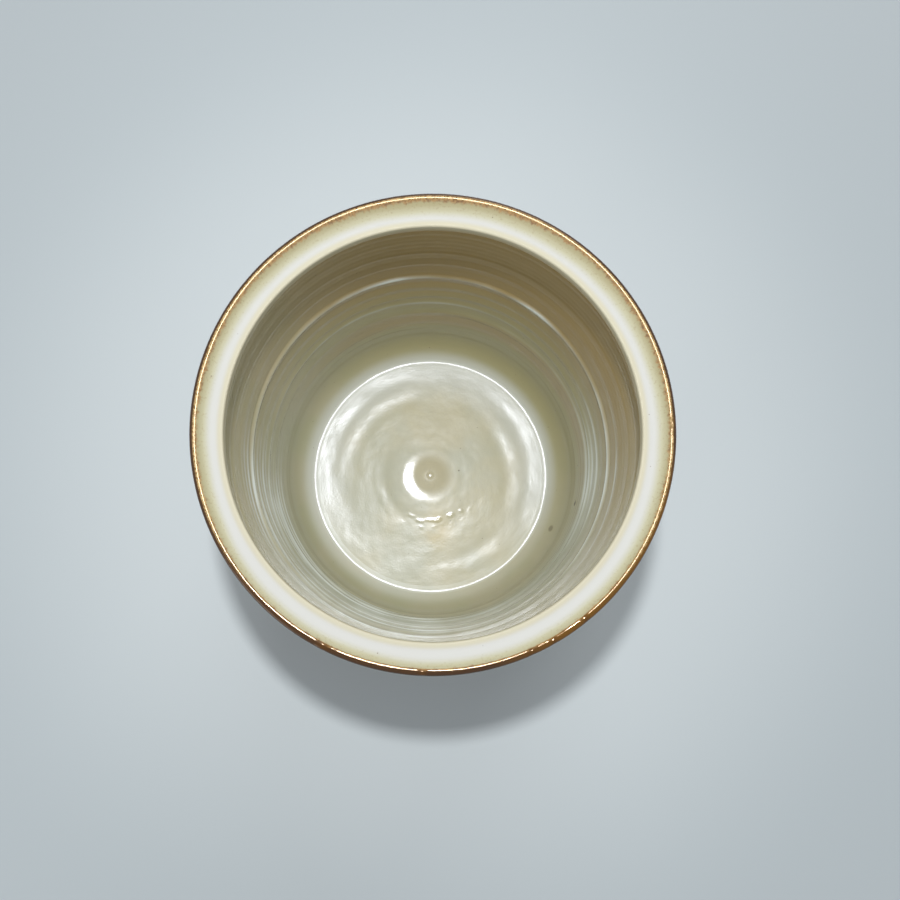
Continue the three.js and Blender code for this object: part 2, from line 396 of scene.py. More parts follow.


# Painted reflection lines along the rings, standing for light that the glossy wall reflects: mean
# depth, wander, where it stands highest, how broad the line is, and its arcs with their middle, half
# and strength
PALE_RINGS = (
    (64.5, 4.5, 125, 1.25, ((54, 19, 1.4), (107, 28, 1.6), (352, 50, 1.3), (90, 179, 0.5))),
    (95.5, 6.5, 120, 1.3, ((125, 110, 0.5), (215, 50, 0.6))),
    (53.6, 3.0, 125, 0.9, ((350, 52, 0.6), (250, 45, 0.3))),
    (59.4, 0, 0, 1.2, ((252, 48, 1.0),)),
    (69, 0, 0, 1.25, ((245, 66, 1.4),)),
    (76.5, 0, 0, 1.25, ((248, 66, 1.4),)),
    (87, 0, 0, 1.4, ((245, 66, 1.5),)),
    (84, 3.0, 125, 1.7, ((356, 36, 1.5),)),
    (91.6, 3.0, 125, 1.1, ((0, 28, 0.9),)),
    (96, 3.0, 125, 1.2, ((356, 38, 1.2),)),
    (102, 3.0, 125, 1.3, ((356, 42, 1.0), (20, 80, 0.25))),
    (103, 0, 0, 2.0, ((228, 56, 1.8), (290, 40, 1.0))),
    (111, 0, 0, 1.8, ((246, 46, 1.3),)),
    (118, 0, 0, 1.8, ((246, 20, 1.8),)),
    (95, 0, 0, 15, ((352, 34, 0.3), (257, 40, 0.26), (198, 14, 0.3))),
)
# Directions in which those painted lines are strongest, as columns of reflected light: middle, half
# and by how much more
PALE_COLUMNS = ((246, 10, 1.3), (268, 8, 1.4), (198, 9, 0.6), (353, 10, 0.5))
# Fainter lines than this are left out
FAINTEST_LINE = 0.02
# The side of the wall with a painted sheen of reflected light: its middle, how far round it is
# full and gone, and the depths between which it fades in at the top and out at the foot
PALE_SIDE = (284, 92, 126)
PALE_SIDE_TOP = (40, 60)
PALE_SIDE_FOOT = (108, 124)
# How strong that painted sheen and its streaks are, and the arc on which the streaks are stronger
PALE_STREAKS = 0.04
NEAR_STREAKS = (242, 88, 0.1)
# Fine painted reflection lines there: spacing, arc and strength
PALE_WAVE = (4.8, 202, 50, 1.1)
# Painted sheen in the cove is strongest on one side: its arc, the least share and how much more in
# the middle
PALE_COVE_SIDE = (215, 120, 0.22, 0.78)
# That painted sheen grows towards the cove's foot: the heights between which it does so, and how
# strongly
PALE_COVE_FOOT = (13.2, 25, 0.34)
# A painted highlight runs along the crease: radius, half width, strength and how much weaker on that
# side
PALE_CREASE = (63.9, 0.5, 0.55, 0.25)
PALE_COVE_START = 61 * MM


@functools.lru_cache(None)
def pale_rings_at(turn):
    """Depth, breadth and strength of each painted reflection line in one direction."""
    degrees = math.degrees(turn)
    rings = []
    for mean, wander, top, broad, arcs in PALE_RINGS:
        share = max(share * lobe(degrees, middle, half) for middle, half, share in arcs)
        share *= 0.7 + 0.5 * round_noise(turn, mean, 7, 1, 53)
        share *= 1 + sum(more * lobe(degrees, *place) for *place, more in PALE_COLUMNS)
        if share > FAINTEST_LINE:
            rings.append((mean - wander * math.cos(turn - math.radians(top)), broad, share))
    return rings


def painted_wall_sheen(turn, depth):
    """How strongly painted sheen and reflection lines lie on the wall, from 0 to 1; the depth is in
    millimetres.
    """
    painted_light = 0.0
    for crest, broad, share in pale_rings_at(turn):
        gap = (depth - crest) / broad
        if abs(gap) < 3:
            painted_light += share * math.exp(-gap * gap)
    middle, full, gone = PALE_SIDE
    away = abs((math.degrees(turn) - middle + 180) % 360 - 180)
    side = 1 - soft_step(away, full, gone)
    side *= soft_step(depth, *PALE_SIDE_TOP) * (1 - soft_step(depth, *PALE_SIDE_FOOT))
    if side > 0:
        middle, half, more = NEAR_STREAKS
        near = PALE_STREAKS + more * lobe(math.degrees(turn), middle, half)
        streak = 0.5 + round_noise(turn, depth, 12, 0.03, 67)
        painted_light += side * (PALE_STREAKS + pale_wave(turn, depth) + near * streak)
    return min(1.0, max(0.0, painted_light))


def pale_wave(turn, depth):
    """The fine painted reflection lines that lie close together on one side."""
    pitch, middle, half, share = PALE_WAVE
    wave = depth / pitch + turn / (2 * math.pi) + 0.4 * round_noise(turn, depth, 2, 0.05, 61)
    fine = (0.5 + 0.5 * math.sin(2 * math.pi * wave)) ** 2
    strong = max(0.2, 0.75 + 1.1 * round_noise(turn, depth, 1.6, 0.04, 71))
    return share * lobe(math.degrees(turn), middle, half) * fine * strong


def painted_cove_light(turn, radius, height):
    """Painted sheen low in the cove, most of all on the near side, and a painted highlight along the
    crease.
    """
    middle, half, least, more = PALE_COVE_SIDE
    near = least + more * lobe(math.degrees(turn), middle, half)
    foot, top, strength = PALE_COVE_FOOT
    low = strength * near * (1 - soft_step(height, foot, top)) ** 2
    place, width, most, less = PALE_CREASE
    crease = math.exp(-((radius - place) / width) ** 2)
    return min(1.0, low + (most - less * near) * crease)


def upturn(radius):
    """Rise, for a slope of 1, of a floor that begins to turn up and then keeps its slope."""
    share = min(1.0, max(0.0, (radius - UPTURN_START) / (UPTURN_FULL - UPTURN_START)))
    rise = (UPTURN_FULL - UPTURN_START) * (share ** 3 - share ** 4 / 2)
    return rise + max(0.0, radius - UPTURN_FULL)


def floor_relief(turn, radius):
    """Unevenness of the floor, as height to add, all in millimetres and degrees."""
    lift = 0.0
    for place, width, rise, middle, half in FLOOR_STEPS:
        across = (radius - place) / width
        if abs(across) < 1:
            lift += rise * lobe(turn, middle, half) * math.sin(math.pi * across) * (1 - across ** 2)
    slope = sum(math.radians(rise) * lobe(turn, *place) for *place, rise in FLOOR_UPTURNS)
    varied = Vector((math.cos(math.radians(turn)) * 3, turn / 60, radius / 9))
    slope *= 1 + UPTURN_VARIATION * noise.noise(varied)
    fall = upturn(UPTURN_END) - upturn(min(radius, UPTURN_END))
    lift -= slope * fall * soft_step(radius, UPTURN_FADE, UPTURN_START)
    x, y = (radius * trig(math.radians(turn)) for trig in (math.cos, math.sin))
    middle, half, reach, width, height = FLOOR_KNOTS
    knots = lobe(turn, middle, half) * math.exp(-((radius - reach) / width) ** 2)
    clumps = noise.noise(Vector((x / KNOT_SIZE[0], y / KNOT_SIZE[1], 4)))
    lift += height * knots * max(0.0, clumps - KNOT_GAP)
    for rise, size, seed in FLOOR_UNEVEN:
        bumps = noise.noise(Vector((x / size, y / size, seed)))
        lift += rise * min(1.0, radius / UNEVEN_RADIUS) * bumps
    middle, half, rise, start, end, gone = TERRACE
    climb = math.radians(rise) * (end - start) * soft_step(radius, start, end)
    return lift + climb * lobe(turn, middle, half) * (1 - soft_step(radius, end, gone))


def throw_inside(mesh, relief):
    """Finger marks up the wall and round the floor."""
    painted_light = mesh.verts.layers.float.new("painted_light")
    for vert in mesh.verts:
        if vert[relief] < 0.5:
            continue
        x, y, z = vert.co
        radius = math.hypot(x, y)
        turn = round(math.atan2(y, x), 5)
        # Painted sheen in the cove and a painted highlight in the crease
        if radius > PALE_COVE_START and z < COVE_TOP:
            vert[painted_light] = painted_cove_light(turn, radius / MM, z / MM)
        if COVE_TOP < z < WALL_TOP:
            ends = min(1.0, (WALL_TOP - z) / RING_FADE_TOP, (z - COVE_TOP) / RING_FADE_FOOT)
            scale = 1 - wall_relief(turn, z) * ends / radius
            vert.co.x, vert.co.y = x * scale, y * scale
            # Painted sheen and reflection lines on the wall
            vert[painted_light] = painted_wall_sheen(turn, (JAR_HEIGHT - z) / MM) * ends
        elif radius < FLOOR_RADIUS - CREASE_MARGIN and z < COVE_TOP:
            vert.co.z += floor_relief(math.degrees(turn), radius / MM) * MM


# The outer glaze's lower edge: lobes round the jar, rise and start, as in the CAD
GLAZE_LINE_WAVES = ((2, 1.1, 0.4), (3, 0.8, 2.0), (7, 0.4, 4.1))
# Runs of glaze that hang below that edge: direction, half width and drop
GLAZE_RUNS = (
    (24, 9, 2.4), (71, 7, 1.3), (128, 11, 2.8), (201, 9, 1.6), (252, 8, 2.2), (313, 10, 1.5),
)
# Finger marks up the outside, which fade out below the lip
OUTSIDE_PITCH = 10 * MM
OUTSIDE_RELIEF = 0.26 * MM
OUTSIDE_FADE = 10 * MM
# The thick roll along the glaze's lower edge: the middle, half and relief of its bulge
ROLL_MIDDLE = 1.575 * MM
ROLL_HALF = 2.625 * MM
ROLL_RELIEF = 0.28 * MM

# Where the outer glaze has gathered in waves on the lip: arc, height and length of a wave
LIP_DROPS = ((243.2, 5.0, 0.12, 5.6), (302, 8.0, 0.1, 6.4))
# The lip is fuller towards this direction, by this share, and uneven by another
LIP_FULLER = (245, 0.06)
LIP_UNEVEN = 0.04
LIP_REACH = 5 * MM
DROP_FADE = 1 * MM


def glaze_line_rise(turn):
    """How far the lower edge of the outer glaze lies above its mean height."""
    degrees = math.degrees(turn)
    rise = sum(rise * math.sin(lobes * turn + start) for lobes, rise, start in GLAZE_LINE_WAVES)
    rise -= sum(drop * lobe(degrees, middle, half) for middle, half, drop in GLAZE_RUNS)
    return rise * MM


def outside_pass(turn, height):
    """1 on the ridge between two passes of the fingers, 0 in the groove."""
    wander = 0.8 * round_noise(turn, height, 0.6, 28, 31)
    phase = height / OUTSIDE_PITCH + turn / (2 * math.pi) + wander
    return 1 - abs(math.sin(math.pi * phase))


def throw_outside(mesh, relief):
    """Finger marks up the outside, and the uneven lower edge of the glaze."""
    thin = mesh.verts.layers.float.new("thin")
    for vert in mesh.verts:
        x, y, z = vert.co
        radius, turn = math.hypot(x, y), math.atan2(y, x)
        share = max(0.0, 1 - (z - GLAZE_LINE) / GLAZE_LINE_FADE)
        place = z + share * glaze_line_rise(turn)
        moved = radius + outside_radius(place) - outside_radius(z)
        if vert[relief] > 0.5 and z < LIP_CENTRE.y:
            ridge = outside_pass(turn, place)
            soft = 0.6 + 0.8 * round_noise(turn, place, 1, 25, 17)
            fade = min(1.0, (LIP_CENTRE.y - z) / OUTSIDE_FADE)
            moved -= OUTSIDE_RELIEF * max(soft, 0.1) * (1 - ridge) * fade
            moved += ROLL_RELIEF * lobe(z - GLAZE_LINE, ROLL_MIDDLE, ROLL_HALF)
            vert[thin] = ridge * fade * max(0.0, soft)
        vert.co = (x * moved / radius, y * moved / radius, place)


def live_lip(mesh, relief):
    """The lip is not even: fuller on one side, with the glaze in waves on its crest."""
    side, share = LIP_FULLER
    for vert in mesh.verts:
        x, y, z = vert.co
        radius, turn = math.hypot(x, y), math.atan2(y, x)
        inward = RIM_RADIUS - radius
        if vert[relief] < 0.5 or z < SEAT_HEIGHT or inward > LIP_REACH:
            continue
        degrees = math.degrees(turn)
        fuller = share * math.cos(turn - math.radians(side))
        fuller += LIP_UNEVEN * round_noise(turn, 0, 3, 0, 43)
        fuller *= 1 - soft_step(inward, 0.5 * LIP_REACH, LIP_REACH)
        wanted = RIM_RADIUS - inward * (1 + fuller)
        drop = LIP_UNEVEN * (1 + round_noise(turn, 0, 9, 0, 41))
        for middle, half, height, length in LIP_DROPS:
            wave = math.sin(2 * math.pi * (degrees % 360 - middle) / length)
            drop += height * lobe(degrees, middle, half) * (1 + wave)
        drop *= MM * min(1.0, inward / DROP_FADE) * min(1.0, (z - SEAT_HEIGHT) / DROP_FADE)
        vert.co = (x * wanted / radius, y * wanted / radius, z - drop)


class Shader:
    """A node material written as a chain of named values."""

    def __init__(self, name):
        self.material = bpy.data.materials.new(name)
        self.material.use_nodes = True
        self.nodes = self.material.node_tree.nodes
        self.links = self.material.node_tree.links
        self.surface = self.nodes["Principled BSDF"]
        self.place = self.nodes.new("ShaderNodeTexCoord").outputs["Object"]

    def math(self, operation, first, second=0.0):
        node = self.nodes.new("ShaderNodeMath")
        node.operation = operation
        self.feed(node.inputs[0], first)
        self.feed(node.inputs[1], second)
        return node.outputs[0]

    def feed(self, socket, value):
        if isinstance(value, bpy.types.NodeSocket):
            self.links.new(value, socket)
        else:
            socket.default_value = value

    def parts(self, vector):
        node = self.nodes.new("ShaderNodeSeparateXYZ")
        self.links.new(vector, node.inputs[0])
        return node.outputs

    def join(self, x, y, z):
        node = self.nodes.new("ShaderNodeCombineXYZ")
        for socket, value in zip(node.inputs, (x, y, z)):
            self.feed(socket, value)
        return node.outputs[0]

    def noise(self, vector, scale, detail=2.0, roughness=0.5):
        node = self.nodes.new("ShaderNodeTexNoise")
        self.links.new(vector, node.inputs["Vector"])
        node.inputs["Scale"].default_value = scale
        node.inputs["Detail"].default_value = detail
        node.inputs["Roughness"].default_value = roughness
        return node.outputs["Fac"]

    def step(self, value, low, high):
        """0 below low, 1 above high and smooth between."""
        node = self.nodes.new("ShaderNodeMapRange")
        node.interpolation_type = "SMOOTHSTEP"
        self.feed(node.inputs["Value"], value)
        node.inputs["From Min"].default_value = low
        node.inputs["From Max"].default_value = high
        return node.outputs["Result"]

    def mix(self, share, first, second):
        node = self.nodes.new("ShaderNodeMix")
        node.data_type = "RGBA"
        self.feed(node.inputs["Factor"], share)
        for socket, value in ((node.inputs[6], first), (node.inputs[7], second)):
            self.feed(socket, (*value, 1) if isinstance(value, tuple) else value)
        return node.outputs[2]

    def bump(self, height, strength, distance):
        node = self.nodes.new("ShaderNodeBump")
        node.inputs["Strength"].default_value = strength
        node.inputs["Distance"].default_value = distance
        self.feed(node.inputs["Height"], height)
        self.links.new(node.outputs["Normal"], self.surface.inputs["Normal"])


def srgb(red, green, blue):
    """A colour given as it is seen, from 0 to 255, as light."""
    def light(value):
        value /= 255
        return value / 12.92 if value <= 0.04045 else ((value + 0.055) / 1.055) ** 2.4

    return (light(red), light(green), light(blue))


# Where the jar's near side fades out, along Y
NEAR_SIDE = (-62 * MM, -25 * MM)


def jar_places(shader):
    """Object coordinates, and the distance from the jar's axis."""
    x, y, z = shader.parts(shader.place)
    square = shader.math("ADD", shader.math("MULTIPLY", x, x), shader.math("MULTIPLY", y, y))
    return x, y, z, shader.math("SQRT", square)


def both(shader, first, second):
    """The product of two values, or where two shares hold together."""
    return shader.math("MULTIPLY", first, second)


def but_not(shader, value):
    """What is left of 1."""
    return shader.math("SUBTRACT", 1.0, value)


def attribute(shader, name):
    """A value that the mesh carries at its points."""
    node = shader.nodes.new("ShaderNodeAttribute")
    node.attribute_name = name
    return node.outputs["Fac"]


def specks(shader, scale, size, share):
    """Scattered round spots: 1 in a spot; size is in cells, share the cells that have one."""
    node = shader.nodes.new("ShaderNodeTexVoronoi")
    shader.links.new(shader.place, node.inputs["Vector"])
    node.inputs["Scale"].default_value = scale
    chosen = shader.step(shader.parts(node.outputs["Color"])[0], 1 - share, 1 - share + 0.02)
    near = but_not(shader, shader.step(node.outputs["Distance"], size * 0.6, size))
    return both(shader, chosen, near)


def fringe(shader, x, y, radius):
    """Distance from the axis with a fine uneven edge that runs inwards and outwards."""
    ways = [shader.math("DIVIDE", value, radius) for value in (x, y)]
    drips = shader.noise(shader.join(*ways, both(shader, radius, 8)), 46, 3, 0.7)
    drips = shader.step(drips, 0.35, 0.8)
    reach = shader.math("ADD", radius, both(shader, drips, 1.1 * MM))
    reach = shader.math("ADD", reach, both(shader, shader.noise(shader.place, 60, 2), 0.9 * MM))
    return shader.math("ADD", reach, both(shader, y, 0.004))


def ochre(shader):
    """The broken edge where the cream and the amber glazes have run together."""
    grain = shader.step(shader.noise(shader.place, 900, 2), 0.35, 0.7)
    return shader.mix(grain, srgb(140, 108, 62), srgb(104, 74, 38))


def wall_glaze(shader, x, y, z):
    """Olive low on the wall and brown above; darker and browner on the far side as painted shade,
    greyer on the near side as painted sheen, cooler to the right, and whitened where the mesh carries
    painted light.
    """
    high = shader.step(z, 60 * MM, 112 * MM)
    upright = shader.join(x, y, both(shader, z, 0.18))
    drift = shader.step(shader.noise(upright, 42, 3), 0.35, 0.65)
    olive = shader.mix(drift, srgb(176, 175, 146), srgb(182, 178, 152))
    brown = shader.mix(drift, srgb(173, 166, 133), srgb(179, 169, 138))
    near = but_not(shader, shader.step(y, *NEAR_SIDE))
    # Painted sheen: the brown turns greyer on the near side, standing for the light reflected there
    brown = shader.mix(near, brown, srgb(176, 173, 153))
    cool = both(shader, shader.step(x, 20 * MM, 70 * MM), shader.step(z, 36 * MM, 60 * MM))
    olive = shader.mix(both(shader, cool, 0.7), olive, srgb(166, 174, 160))
    near = both(shader, near, shader.step(z, 38 * MM, 58 * MM))
    olive = shader.mix(both(shader, near, 0.8), olive, srgb(156, 160, 142))
    # Painted shade: the far side of the wall is darker and browner, where the rim shades it from the
    # lamp above
    away = shader.math("ADD", both(shader, y, 0.9), both(shader, x, 0.43))
    away = shader.step(away, -15 * MM, 70 * MM)
    olive = shader.mix(away, olive, srgb(166, 160, 122))
    brown = shader.mix(away, brown, srgb(158, 133, 80))
    band = but_not(shader, shader.step(z, 56 * MM, 66 * MM))
    band = both(shader, both(shader, band, shader.step(z, 42 * MM, 50 * MM)), away)
    olive = shader.mix(both(shader, band, 0.7), olive, srgb(172, 150, 108))
    colour = shader.mix(high, olive, brown)
    # Painted sheen, reflection lines and the cove's painted light whiten the colour where the mesh
    # carries them
    return shader.mix(attribute(shader, "painted_light"), colour, srgb(232, 240, 240))


def shelf_glaze(shader, x, y, radius):
    """Cream at the mouth, then a milky band painted in as the shelf's ring of highlight, olive and
    khaki with freckles, reaching further in on the far side as painted shade, and ochre at the lip.
    """
    # Painted highlight: from 76.8 mm out the cream turns milky, the soft ring of light on the shelf
    inner = shader.step(radius, 74.8 * MM, 76.8 * MM)
    colour = shader.mix(inner, srgb(173, 168, 146), srgb(170, 170, 165))
    # Painted shade and light: through its y term the olive and khaki reach further in on the far side
    # and less far on the near side
    slow = shader.math("ADD", radius, both(shader, shader.noise(shader.place, 40, 2), 1.5 * MM))
    slow = shader.math("ADD", slow, both(shader, y, 0.013))
    colour = shader.mix(shader.step(slow, 78.3 * MM, 81.2 * MM), colour, srgb(160, 157, 130))
    colour = shader.mix(shader.step(slow, 80.1 * MM, 83.4 * MM), colour, srgb(140, 132, 96))
    freckles = shader.step(shader.noise(shader.place, 1300, 2), 0.56, 0.7)
    freckles = both(shader, freckles, shader.step(slow, 78 * MM, 82 * MM))
    colour = shader.mix(both(shader, freckles, 0.3), colour, srgb(116, 98, 56))
    brink = shader.step(fringe(shader, x, y, radius), 82.4 * MM, 83.6 * MM)
    return shader.mix(brink, colour, ochre(shader))


def floor_glaze(shader, x, y, radius):
    """Beige round the nub, clouded further out, greyer by the crease, with one warm patch."""
    clouds = shader.step(shader.noise(shader.place, 34, 3), 0.35, 0.7)
    beige = shader.mix(clouds, srgb(186, 186, 166), srgb(192, 187, 160))
    beige = shader.mix(shader.step(radius, 6 * MM, 17 * MM), srgb(186, 179, 150), beige)
    outer = both(shader, shader.step(radius, 38 * MM, 60 * MM), shader.step(y, -50 * MM, 0))
    beige = shader.mix(outer, beige, srgb(191, 193, 183))
    below = shader.math("ADD", y, 30 * MM)
    square = shader.math("ADD", both(shader, x, x), both(shader, below, below))
    warm = but_not(shader, shader.step(shader.math("SQRT", square), 3 * MM, 15 * MM))
    beige = shader.mix(both(shader, warm, clouds), beige, srgb(203, 188, 144))
    # The crease's painted highlight whitens the floor's outer edge
    return shader.mix(attribute(shader, "painted_light"), beige, srgb(240, 244, 241))


# Dark marks where iron has come through the liner: place, radius and strength
IRON_MARKS = ((72.4, -17.4, 45, 2.2, 1.0), (65, -29.6, 21, 2.4, 0.45), (15.8, 2.8, 12.9, 0.6, 0.7))


def mark(shader, spot, size, core=0.4):
    """1 inside the core of a small spot about a point, then falling to 0 at its edge."""
    node = shader.nodes.new("ShaderNodeVectorMath")
    node.operation = "DISTANCE"
    shader.links.new(shader.place, node.inputs[0])
    node.inputs[1].default_value = [value * MM for value in spot]
    return but_not(shader, shader.step(node.outputs["Value"], core * size * MM, size * MM))


def cream_glaze():
    """The liner: glossy on wall and floor, satin on the shelf."""
    shader = Shader("cream_glaze")
    x, y, z, radius = jar_places(shader)
    shelf = shader.step(z, SEAT_HEIGHT - 5 * MM, SEAT_HEIGHT - 1 * MM)
    floor = but_not(shader, shader.step(z, FLOOR_HEIGHT, FLOOR_HEIGHT + 6 * MM))
    colour = shader.mix(floor, wall_glaze(shader, x, y, z), floor_glaze(shader, x, y, radius))
    colour = shader.mix(shelf, colour, shelf_glaze(shader, x, y, radius))
    spots = shader.math("MAXIMUM", specks(shader, 170, 0.05, 0.25), specks(shader, 420, 0.1, 0.05))
    colour = shader.mix(both(shader, spots, 0.75), colour, srgb(84, 64, 40))
    for *spot, size, strength in IRON_MARKS:
        seen = both(shader, mark(shader, spot, size), strength)
        colour = shader.mix(seen, colour, srgb(78, 62, 42))
    shader.links.new(colour, shader.surface.inputs["Base Color"])
    shader.surface.inputs["Specular Tint"].default_value = (0.9, 0.93, 1.0, 1)
    satin = shader.math("ADD", both(shader, shelf, 0.46), both(shader, floor, 0.05))
    dull = both(shader, floor, shader.step(radius, 22 * MM, 40 * MM))
    satin = shader.math("ADD", satin, both(shader, dull, 0.05))
    shader.links.new(shader.math("ADD", satin, 0.14), shader.surface.inputs["Roughness"])
    bands = shader.join(both(shader, x, 0.05), both(shader, y, 0.05), z)
    ripple = both(shader, shader.noise(shader.place, 120, 3), 0.8)
    grit = shader.math("ADD", both(shader, dull, 0.5), 0.15)
    grit = both(shader, shader.noise(shader.place, 1100, 2), grit)
    ripple = shader.math("ADD", ripple, grit)
    bands = both(shader, shader.noise(bands, 420, 3), 0.65)
    shader.bump(shader.math("ADD", bands, ripple), 0.2, 0.25 * MM)
    return shader.material


# Drops of the amber glaze on the lip: direction and radius, then how far in from the rim
# and down from the crest their middles lie
GLAZE_DROPS = ((243.3, 3.6), (267.5, 2.2), (294, 2.6), (299.5, 2.2), (308.5, 2.4), (1.5, 2.6))
DROP_INWARD = 1.1
DROP_DOWN = 0.4


def lip_drops(shader):
    """1 in the middle of a drop of glaze, falling to 0 at its edge."""
    reach = RIM_RADIUS / MM - DROP_INWARD
    drops = 0.0
    for way, size in GLAZE_DROPS:
        turn = math.radians(way)
        spot = (reach * math.cos(turn), reach * math.sin(turn), JAR_HEIGHT / MM - DROP_DOWN)
        drops = shader.math("MAXIMUM", mark(shader, spot, size, 0.0), drops)
    return drops


def amber_glaze():
    """The outer coat: lighter over ridges, dark at the shoulder, and gold inside the lip's crest
    where it is thin, that gold also a painted highlight on the lip.
    """
    shader = Shader("amber_glaze")
    x, y, z, radius = jar_places(shader)
    cloud = shader.noise(shader.place, 24, 4, 0.6)
    runs = shader.noise(shader.join(x, y, both(shader, z, 0.1)), 90, 3, 0.6)
    mottle = shader.noise(shader.place, 420, 3, 0.6)
    lift = shader.math("ADD", both(shader, attribute(shader, "thin"), 0.4), both(shader, cloud, 0.7))
    lift = shader.math("ADD", lift, both(shader, runs, 0.35))
    lift = shader.math("ADD", lift, both(shader, mottle, 0.25))
    colour = shader.mix(shader.step(lift, 0.5, 0.8), srgb(48, 29, 18), srgb(84, 50, 25))
    colour = shader.mix(shader.step(lift, 0.75, 1.2), colour, srgb(138, 86, 38))
    colour = shader.mix(specks(shader, 330, 0.16, 0.1), colour, srgb(30, 19, 14))
    shoulder = shader.step(z, JAR_HEIGHT - 7 * MM, JAR_HEIGHT - 2 * MM)
    colour = shader.mix(both(shader, shoulder, 0.85), colour, srgb(58, 39, 23))
    side = shader.math("ADD", both(shader, x, 0.77), both(shader, y, -0.64))
    pooled = both(shader, shader.step(side, 66 * MM, 82 * MM), shoulder)
    colour = shader.mix(both(shader, pooled, 0.9), colour, srgb(96, 64, 14))
    brink = but_not(shader, shader.step(fringe(shader, x, y, radius), 82.9 * MM, 83.6 * MM))
    colour = shader.mix(both(shader, brink, shoulder), colour, ochre(shader))
    drops = lip_drops(shader)
    colour = shader.mix(both(shader, drops, 0.8), colour, srgb(74, 46, 12))
    # A speckled gold band inside the lip's crest on the far side and the sides: thin glaze, and a
    # painted highlight that widens and gilds the lip's gleam
    gold_band = both(shader, shader.step(y, *NEAR_SIDE), shoulder)
    gold_band = both(shader, gold_band, but_not(shader, shader.step(radius, 83.45 * MM, 83.85 * MM)))
    speckle = shader.step(shader.noise(shader.place, 1150, 2), 0.38, 0.62)
    gold = shader.mix(speckle, srgb(114, 91, 54), srgb(164, 140, 98))
    colour = shader.mix(gold_band, colour, gold)
    shader.links.new(colour, shader.surface.inputs["Base Color"])
    dull = both(shader, gold_band, shader.math("ADD", both(shader, speckle, 0.08), 0.06))
    shader.links.new(shader.math("ADD", dull, 0.16), shader.surface.inputs["Roughness"])
    shader.surface.inputs["Specular Tint"].default_value = (1.0, 0.76, 0.55, 1)
    grit = both(shader, shader.noise(shader.place, 950, 2), 0.45)
    height = shader.math("ADD", shader.noise(shader.place, 260, 3), grit)
    shader.bump(shader.math("ADD", height, both(shader, drops, 7.0)), 0.2, 0.3 * MM)
    return shader.material


def bare_clay():
    """Buff clay, trimmed on the wheel: fine rings, grit and a few iron specks."""
    shader = Shader("bare_clay")
    _, _, z, radius = jar_places(shader)
    grain = shader.noise(shader.place, 500, 4)
    across = shader.math("ADD", radius, both(shader, z, 1.7))
    trimmed = shader.noise(shader.join(across, 0.0, 0.0), 900, 2)
    warm = shader.noise(shader.place, 30, 3)
    tone = shader.math("ADD", both(shader, grain, 0.4), both(shader, warm, 0.6))
    colour = shader.mix(shader.step(tone, 0.35, 0.65), srgb(150, 116, 84), srgb(188, 156, 120))
    colour = shader.mix(both(shader, shader.step(trimmed, 0.5, 0.8), 0.35), colour, srgb(128, 96, 68))
    colour = shader.mix(specks(shader, 260, 0.16, 0.12), colour, srgb(92, 62, 42))
    shader.links.new(colour, shader.surface.inputs["Base Color"])
    shader.surface.inputs["Roughness"].default_value = 0.85
    height = shader.math("ADD", both(shader, grain, 0.6), both(shader, trimmed, 0.7))
    shader.bump(height, 0.5, 0.3 * MM)
    return shader.material


def make_liner():
    """The cream glaze from the lip's joint to the centre of the floor."""
    front = inside_profile(SHOWN)
    back = inset(inside_profile(HIDDEN), COAT_DEPTH)
    mesh, relief = turn_piece(front, back[::-1], False)
    throw_inside(mesh, relief)
    live_lip(mesh, relief)
    finish_piece(mesh, "cream_liner", cream_glaze(), "liner_glaze")


def make_outer_coat():
    """The amber glaze from its lower edge up and over the lip."""
    front = outside_profile(SHOWN) + lip_profile(LIP_STEPS)
    back = inset(outside_profile(HIDDEN) + lip_profile(HIDDEN_LIP_STEPS), COAT_DEPTH)
    mesh, relief = turn_piece(front, back[::-1], True)
    throw_outside(mesh, relief)
    live_lip(mesh, relief)
    finish_piece(mesh, "amber_coat", amber_glaze(), "outer_glaze")


def make_clay():
    """The bare foot and heel, and under the glazes the hidden skin of the clay."""
    inner = FOOT_RADIUS - FOOT_WIDTH
    root = Vector((FOOT_RADIUS + FOOT_BEVEL, FOOT_HEIGHT))
    heel = Vector((BASE_RADIUS - COAT_DEPTH, HEEL_HEIGHT))
    full = Vector((heel.x, root.y + HEEL_FULLNESS))
    recess = Vector((inner - RECESS_ROUND, RECESS_DEPTH))
    foot = line(Vector((0, RECESS_DEPTH)), recess, RECESS_STEPS)
    foot += [Vector((inner, RECESS_DEPTH / 2)), Vector((inner, FOOT_BEVEL))]
    foot += [Vector((inner + FOOT_BEVEL, 0)), Vector((FOOT_RADIUS - FOOT_BEVEL, 0))]
    foot += [Vector((FOOT_RADIUS, FOOT_BEVEL))] + quadratic(root, full, heel, HEEL_STEPS)[:-1]
    skin = [Vector((outside_radius(HEEL_HEIGHT), HEEL_HEIGHT))] + outside_profile(HIDDEN)
    skin += lip_profile(HIDDEN_LIP_STEPS) + inside_profile(HIDDEN)[1:]
    hidden = inset(skin, COAT_DEPTH)
    mesh, _ = turn_piece(foot + hidden[:3], hidden[3:], False)
    finish_piece(mesh, "clay_body", bare_clay(), "stoneware_body")


BACKGROUND = srgb(198, 205, 210)
TABLE_SIZE = 4


def direct_rays(nodes, links):
    """1 for camera, glossy and transmission rays, which show the background itself."""
    path = nodes.new("ShaderNodeLightPath").outputs
    seen = path["Is Camera Ray"]
    for name in ("Is Glossy Ray", "Is Transmission Ray"):
        node = nodes.new("ShaderNodeMath")
        node.operation = "MAXIMUM"
        links.new(seen, node.inputs[0])
        links.new(path[name], node.inputs[1])
        seen = node.outputs[0]
    return seen


